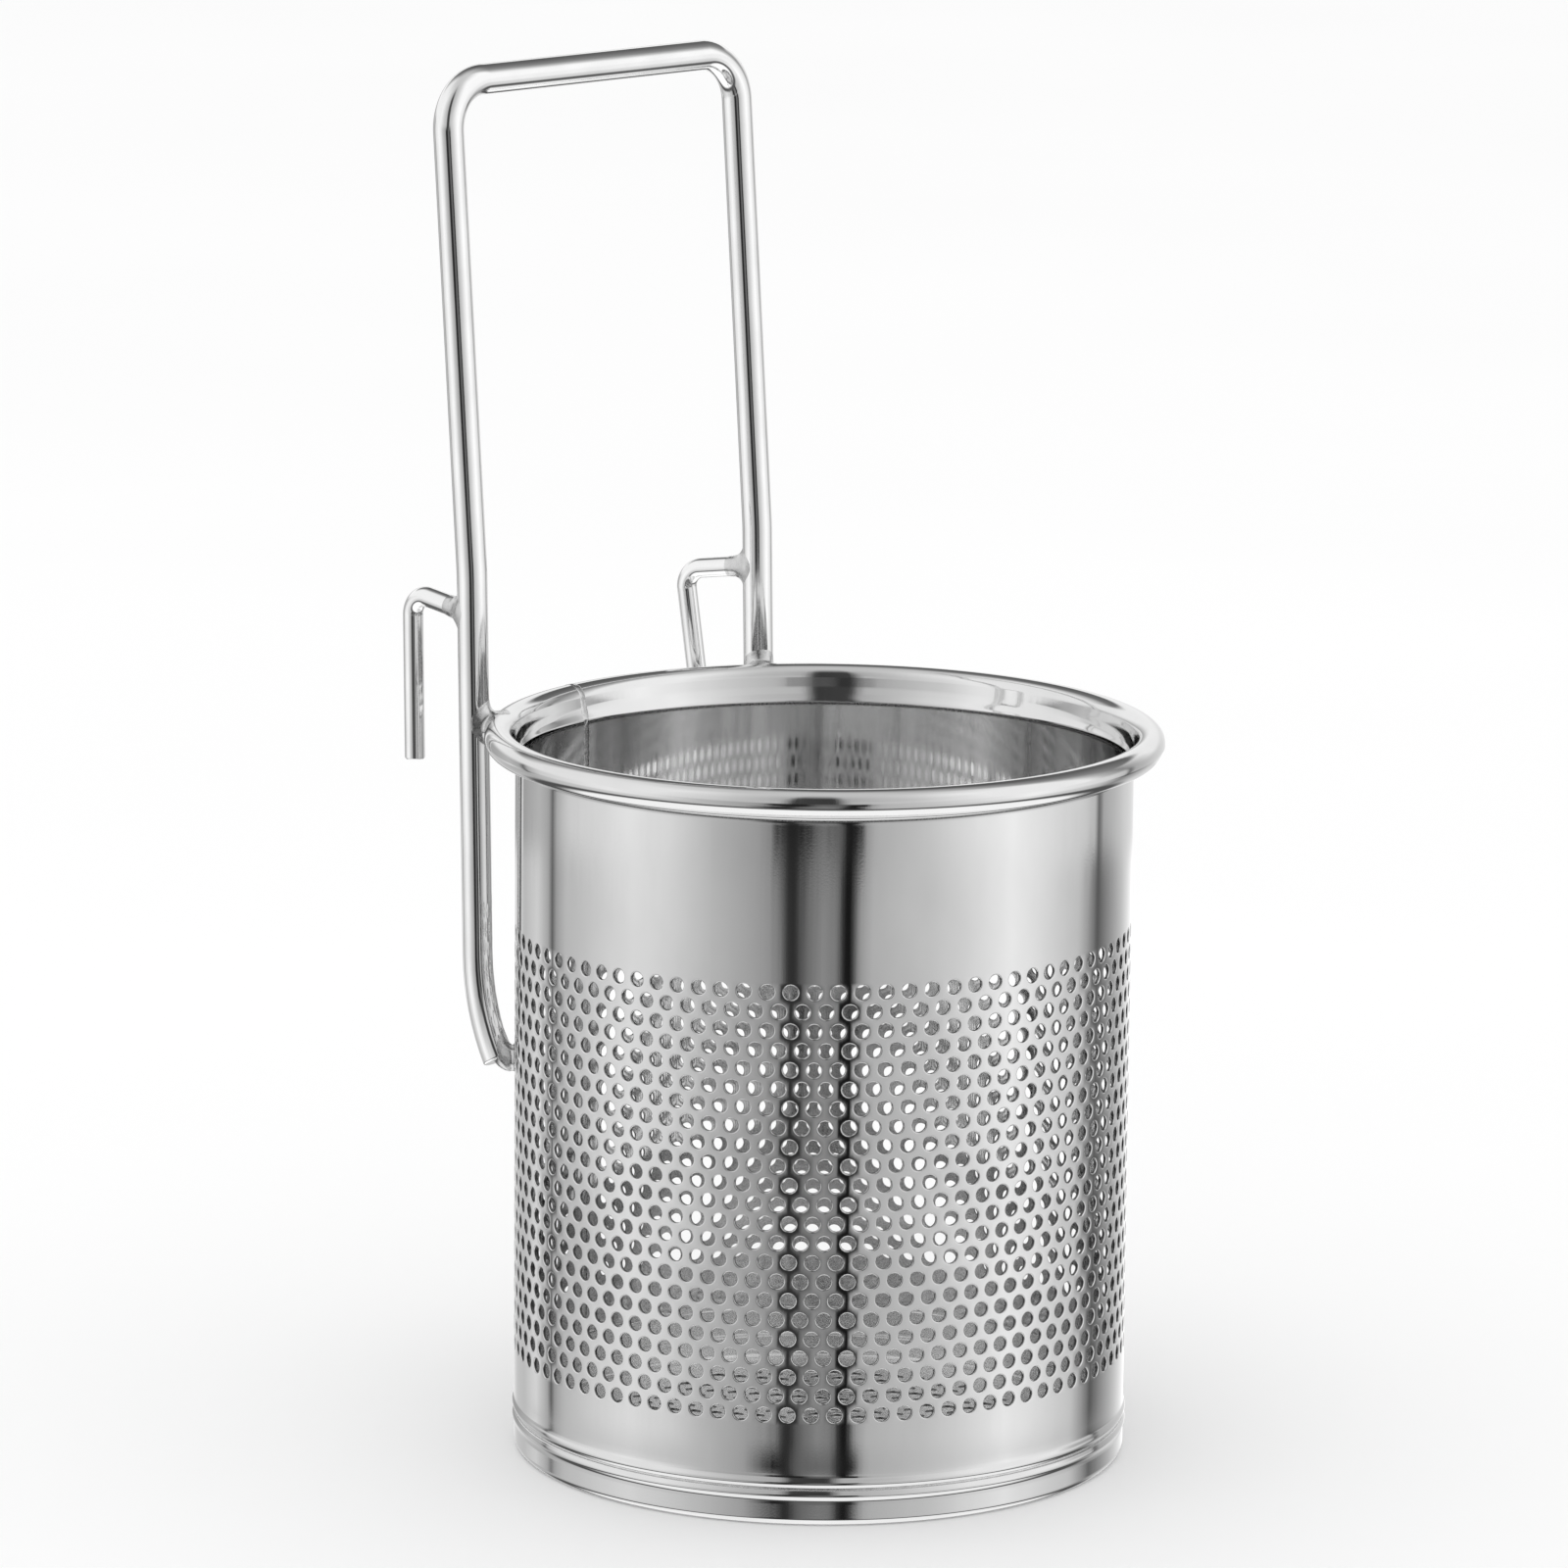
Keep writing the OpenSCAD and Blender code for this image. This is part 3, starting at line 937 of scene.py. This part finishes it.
def metal(name, build):
    """A metal whose colour, roughness and surface come from build(tree), a dict of the shader's sockets."""
    material = bpy.data.materials.new(name)
    material.use_nodes = True
    tree = material.node_tree
    tree.nodes.clear()
    sockets = {"Metallic": 1.0, **build(tree)}
    shader = node(tree, "ShaderNodeBsdfPrincipled", sockets)
    node(tree, "ShaderNodeOutputMaterial", {"Surface": shader.outputs[0]})
    return material


def sheet_metal():
    """Mirror-polished sheet with rolling lines and slow waves; satin in the pan, with a lighter colour there
    that is painted light; painted shade, a dark colour, in the punched bores and along the ledge's foot.
    """

    def build(tree):
        place = node(tree, "ShaderNodeTexCoord").outputs["Object"]
        face = node(tree, "ShaderNodeAttribute", attribute_name="place").outputs["Vector"]
        face = node(tree, "ShaderNodeSeparateXYZ", {0: face}).outputs
        lines = noise(tree, place, (900, 900, 14), 1.0, 3.0)
        cloud = noise(tree, place, (1, 1, 0.6), 60.0, 3.0)
        wave = noise(tree, place, (1, 1, 0.5), 34.0, 1.0)
        fine = noise(tree, place, (1, 1, 1), 2600.0, 2.0)
        surface = bump(tree, wave, 0.22 * MM, 0.35)
        surface = bump(tree, lines, 0.0030 * MM, 1.0, surface)
        surface = bump(tree, fine, 0.0008 * MM, 1.0, surface)
        colour = grey_between(tree, cloud, 0.70, 0.76)
        colour = colour_mix(tree, face["Y"], colour, grey_between(tree, cloud, 0.74, 0.80))
        # painted light: the pan's inside is the same steel given a lighter colour, 0.84 to 0.90, that stands
        # in for light in the pan; its satin gloss is roughness
        colour = colour_mix(tree, face["Z"], colour, grey_between(tree, cloud, 0.84, 0.90))
        # painted shade: the hole bores and the line along the ledge's foot (place X) get a dark colour, 0.10
        # to 0.22, as shade
        colour = colour_mix(tree, face["X"], colour, grey_between(tree, fine, 0.10, 0.22))
        gloss = between(tree, lines, 0.03, 0.07)
        gloss = value_mix(tree, face["Y"], gloss, between(tree, lines, 0.04, 0.09))
        gloss = value_mix(tree, face["Z"], gloss, between(tree, fine, 0.18, 0.30))
        gloss = value_mix(tree, face["X"], gloss, between(tree, fine, 0.25, 0.45))
        return {"Base Color": colour, "Roughness": gloss, "Normal": surface}

    return metal("polished_sheet", build)


def wire_metal():
    """Electropolished wire: fine draw marks along its length."""

    def build(tree):
        place = node(tree, "ShaderNodeAttribute", attribute_name="place").outputs["Vector"]
        marks = noise(tree, place, (30, 2600, 2600), 1.0, 3.0)
        cloud = noise(tree, place, (90, 300, 300), 1.0, 3.0)
        surface = bump(tree, cloud, 0.02 * MM, 0.3)
        surface = bump(tree, marks, 0.0025 * MM, 1.0, surface)
        return {
            "Base Color": grey_between(tree, cloud, 0.86, 0.94),
            "Roughness": between(tree, marks, 0.05, 0.11),
            "Normal": surface,
        }

    return metal("drawn_wire", build)


def weld_metal():
    """Lightly dressed weld: small ripples and pits."""

    def build(tree):
        place = node(tree, "ShaderNodeTexCoord").outputs["Object"]
        grain = noise(tree, place, (1, 1, 1), 1500.0, 4.0)
        cloud = noise(tree, place, (1, 1, 1), 420.0, 3.0)
        surface = bump(tree, cloud, 0.10 * MM, 0.8)
        surface = bump(tree, grain, 0.02 * MM, 0.8, surface)
        return {
            "Base Color": grey_between(tree, cloud, 0.60, 0.72),
            "Roughness": between(tree, grain, 0.16, 0.34),
            "Normal": surface,
        }

    return metal("weld_metal", build)


# ---------------------------------------------------------------- studio and camera

VIEW_DEG = -46.715
LOOK_DOWN_DEG = 12.653
DISTANCE = 1.601
AIM_SIDE = -7.82 * MM
AIM_Z = 131.84 * MM
ROLL_DEG = 0.497
LENS_MM = 188.51
TARGET_Z = 100 * MM


def view_axes():
    """The directions to the camera's right, and from the basket to the camera along the floor."""
    a = math.radians(VIEW_DEG)
    return Vector((math.cos(a), math.sin(a), 0)), Vector((math.sin(a), -math.cos(a), 0))


def make_camera():
    right, back = view_axes()
    down = math.radians(LOOK_DOWN_DEG)
    data = bpy.data.cameras.new("camera")
    data.lens = LENS_MM
    data.sensor_width = 36
    data.clip_start, data.clip_end = 0.05, 60
    camera = bpy.data.objects.new("camera", data)
    away = back * math.cos(down) + Vector((0, 0, math.sin(down)))
    camera.location = Vector((0, 0, TARGET_Z)) + DISTANCE * away
    aim = right * AIM_SIDE + Vector((0, 0, AIM_Z))
    turn = (aim - camera.location).to_track_quat("-Z", "Y").to_matrix().to_4x4()
    turn = turn @ Matrix.Rotation(math.radians(ROLL_DEG), 4, "Z")
    camera.matrix_world = Matrix.Translation(camera.location) @ turn
    bpy.context.scene.collection.objects.link(camera)
    bpy.context.scene.camera = camera


# Studio panels as a mirror shows them, by height. Each is (degrees to the right of the camera, brightness).
FOOT_PANELS = [
    (-180, 0.85), (-148, 0.60), (-124, 0.50), (-112, 0.62), (-75, 0.80), (-41, 0.60),
    (-28, 0.45), (-23, 0.22), (-20, 0.09), (-17, 0.02), (-11.5, 0.03), (-9, 0.12),
    (-6, 0.16), (3, 0.18), (5, 0.14), (7, 0.04), (9, 0.015), (12.5, 0.02),
    (14.5, 0.20), (16, 0.40), (19, 0.52), (40, 0.66), (74, 0.95), (110, 0.62),
    (124, 0.30), (150, 0.75), (180, 0.85),
]
LOW_PANELS = [
    (-180, 0.95), (-160, 0.64), (-148, 0.62), (-134, 0.84), (-124, 0.50), (-121, 0.12),
    (-118, 0.42), (-112, 0.62), (-89, 0.84), (-75, 0.95), (-60, 0.86), (-41, 0.61),
    (-20, 0.40), (-15.5, 0.26), (-13.8, 0.10), (-12.3, 0.03), (-9.8, 0.045), (-8.2, 0.12),
    (-5, 0.22), (0, 0.33), (5.2, 0.26), (6.6, 0.08), (7.6, 0.012), (10.6, 0.012),
    (12, 0.18), (13.5, 0.42), (18, 0.57), (40, 0.70), (74, 1.10), (110, 0.70),
    (124, 0.12), (180, 1.4),
]
HAND_PANELS = [
    (-180, 0.42), (-150, 0.42), (-132, 0.58), (-124, 0.48), (-121, 0.14), (-118, 0.50),
    (-110, 0.78), (-75, 1.05), (-58, 0.92), (-41, 0.60), (-24, 0.42), (-19.5, 0.30),
    (-17.8, 0.05), (-15, 0.02), (-5, 0.02), (-3.6, 0.12), (0, 0.16), (6.5, 0.14),
    (8.2, 0.03), (9, 0.015), (14, 0.015), (15.5, 0.36), (19, 0.54), (40, 0.74),
    (58, 0.96), (74, 1.12), (112, 0.80), (121, 0.62), (124, 0.14), (128, 0.50),
    (150, 0.75), (180, 0.90),
]
MID_PANELS = [
    (-180, 1.0), (-150, 1.0), (-125, 0.95), (-60, 1.0), (-30, 0.65), (-15, 0.55),
    (-10, 0.06), (4, 0.05), (9, 0.55), (30, 0.70), (60, 1.05), (100, 1.05),
    (110, 0.56), (122, 0.29), (134, 0.60), (150, 1.0), (180, 1.0),
]
HIGH_PANELS = [
    (-180, 0.10), (-150, 0.20), (-125, 0.95), (-60, 1.0), (-30, 0.65), (-15, 0.50),
    (-10, 0.06), (4, 0.05), (9, 0.50), (30, 0.65), (60, 1.05), (100, 1.05),
    (110, 0.56), (122, 0.29), (134, 0.22), (157, 0.14), (180, 0.10),
]
UNDERFOOT, TABLE_EDGE, OVERHEAD = 1.15, 0.10, 0.66
BACKGROUND, FLOOR_LIGHT = 0.97, 1.02
# From the ground up: what a mirror shows above the second height in degrees. It fades in from the first.
BELTS = [
    (TABLE_EDGE, -46, -38),
    (FOOT_PANELS, -34, -27),
    (LOW_PANELS, -17.2, -15.9),
    (HAND_PANELS, -12.15, -11.8),
    (MID_PANELS, 1, 12),
    (HIGH_PANELS, 22, 27),
    (OVERHEAD, 45, 82),
]


def panel_ramp(tree, turn, panels):
    """Brightness by direction round the studio."""
    ramp = node(tree, "ShaderNodeValToRGB", {"Fac": turn})
    elements = ramp.color_ramp.elements
    while len(elements) < len(panels):
        elements.new(0.5)
    for stop, (degrees, bright) in zip(elements, panels):
        stop.position = (degrees + 180) / 360
        stop.color = (bright, bright, bright, 1)
    return ramp.outputs[0]


def make_studio():
    """A studio that mirrors see as panels round the object, and that lights the floor evenly."""
    world = bpy.data.worlds.new("studio")
    bpy.context.scene.world = world
    world.use_nodes = True
    tree = world.node_tree
    tree.nodes.clear()
    right, back = view_axes()
    way = node(tree, "ShaderNodeTexCoord").outputs["Generated"]

    def calc(operation, *values):
        return node(tree, "ShaderNodeMath", dict(enumerate(values)), operation=operation).outputs[0]

    def along(axis):
        made = node(tree, "ShaderNodeVectorMath", {0: way, 1: axis}, operation="DOT_PRODUCT")
        return made.outputs["Value"]

    turn = calc("ARCTAN2", along(right), along(back))
    turn = calc("ADD", calc("DIVIDE", turn, TURN), 0.5)
    rise = calc("DEGREES", calc("ARCSINE", along((0, 0, 1))))

    def mixed(first, second, start, end):
        sockets = {"Value": rise, "From Min": start, "From Max": end}
        share = node(tree, "ShaderNodeMapRange", sockets, interpolation_type="SMOOTHSTEP").outputs[0]
        blend = node(tree, "ShaderNodeMix", {"Factor": share}, data_type="RGBA")
        for key, value in ((6, first), (7, second)):
            if isinstance(value, bpy.types.NodeSocket):
                tree.links.new(value, blend.inputs[key])
            else:
                blend.inputs[key].default_value = (value, value, value, 1)
        return blend.outputs[2]

    seen = UNDERFOOT
    for belt, start, end in BELTS:
        above = panel_ramp(tree, turn, belt) if isinstance(belt, list) else belt
        seen = mixed(seen, above, start, end)
    mirrored = node(tree, "ShaderNodeBackground", {"Color": seen}).outputs[0]
    plain = node(tree, "ShaderNodeBackground", {"Color": (1, 1, 1, 1), "Strength": FLOOR_LIGHT}).outputs[0]
    behind = node(tree, "ShaderNodeBackground", {"Color": (1, 1, 1, 1), "Strength": BACKGROUND}).outputs[0]
    ray = node(tree, "ShaderNodeLightPath").outputs
    lit = node(tree, "ShaderNodeMixShader", {0: ray["Is Diffuse Ray"], 1: mirrored, 2: plain}).outputs[0]
    shown = node(tree, "ShaderNodeMixShader", {0: ray["Is Camera Ray"], 1: lit, 2: behind}).outputs[0]
    node(tree, "ShaderNodeOutputWorld", {"Surface": shown})


def make_floor():
    """A large plain pale floor. The mirrors show the studio's panels in its place."""
    mesh = bpy.data.meshes.new("floor")
    count, radius, drop = 96, 25.0, 0.05 * MM
    turns = [TURN * k / count for k in range(count)]
    mesh.from_pydata([(radius * math.cos(a), radius * math.sin(a), -drop) for a in turns], [], [range(count)])
    floor = bpy.data.objects.new("floor", mesh)
    bpy.context.scene.collection.objects.link(floor)
    material = bpy.data.materials.new("floor_paper")
    material.use_nodes = True
    tree = material.node_tree
    tree.nodes.clear()
    place = node(tree, "ShaderNodeTexCoord").outputs["Object"]
    tone = noise(tree, place, (1, 1, 1), 3.0, 2.0)
    shader = node(tree, "ShaderNodeBsdfDiffuse", {"Color": grey_between(tree, tone, 0.945, 0.955)})
    node(tree, "ShaderNodeOutputMaterial", {"Surface": shader.outputs[0]})
    mesh.materials.append(material)
    floor.visible_glossy = False


def make_light():
    """One broad soft lamp overhead, which only shades the floor."""
    data = bpy.data.lights.new("softbox", "AREA")
    data.shape = "DISK"
    data.size = 1.6
    data.energy = 4.0
    lamp = bpy.data.objects.new("softbox", data)
    lamp.location = (-0.6, -0.4, 2.4)
    lamp.rotation_euler = (Vector((0, 0, 0)) - lamp.location).to_track_quat("-Z", "Y").to_euler()
    lamp.visible_glossy = False
    lamp.visible_camera = False
    bpy.context.scene.collection.objects.link(lamp)


# ---------------------------------------------------------------- the whole

make_camera()
bpy.context.scene.view_settings.view_transform = "Standard"
sheet, wire, weld = sheet_metal(), wire_metal(), weld_metal()

basket_wall(sheet)
rim_wire(wire)
base_pan(sheet)
base_joint_weld(weld)
side_seam_weld(weld)
handle_path, hook_paths = wires(wire)
weld_blobs(weld, handle_path, hook_paths)

make_studio()
make_floor()
make_light()
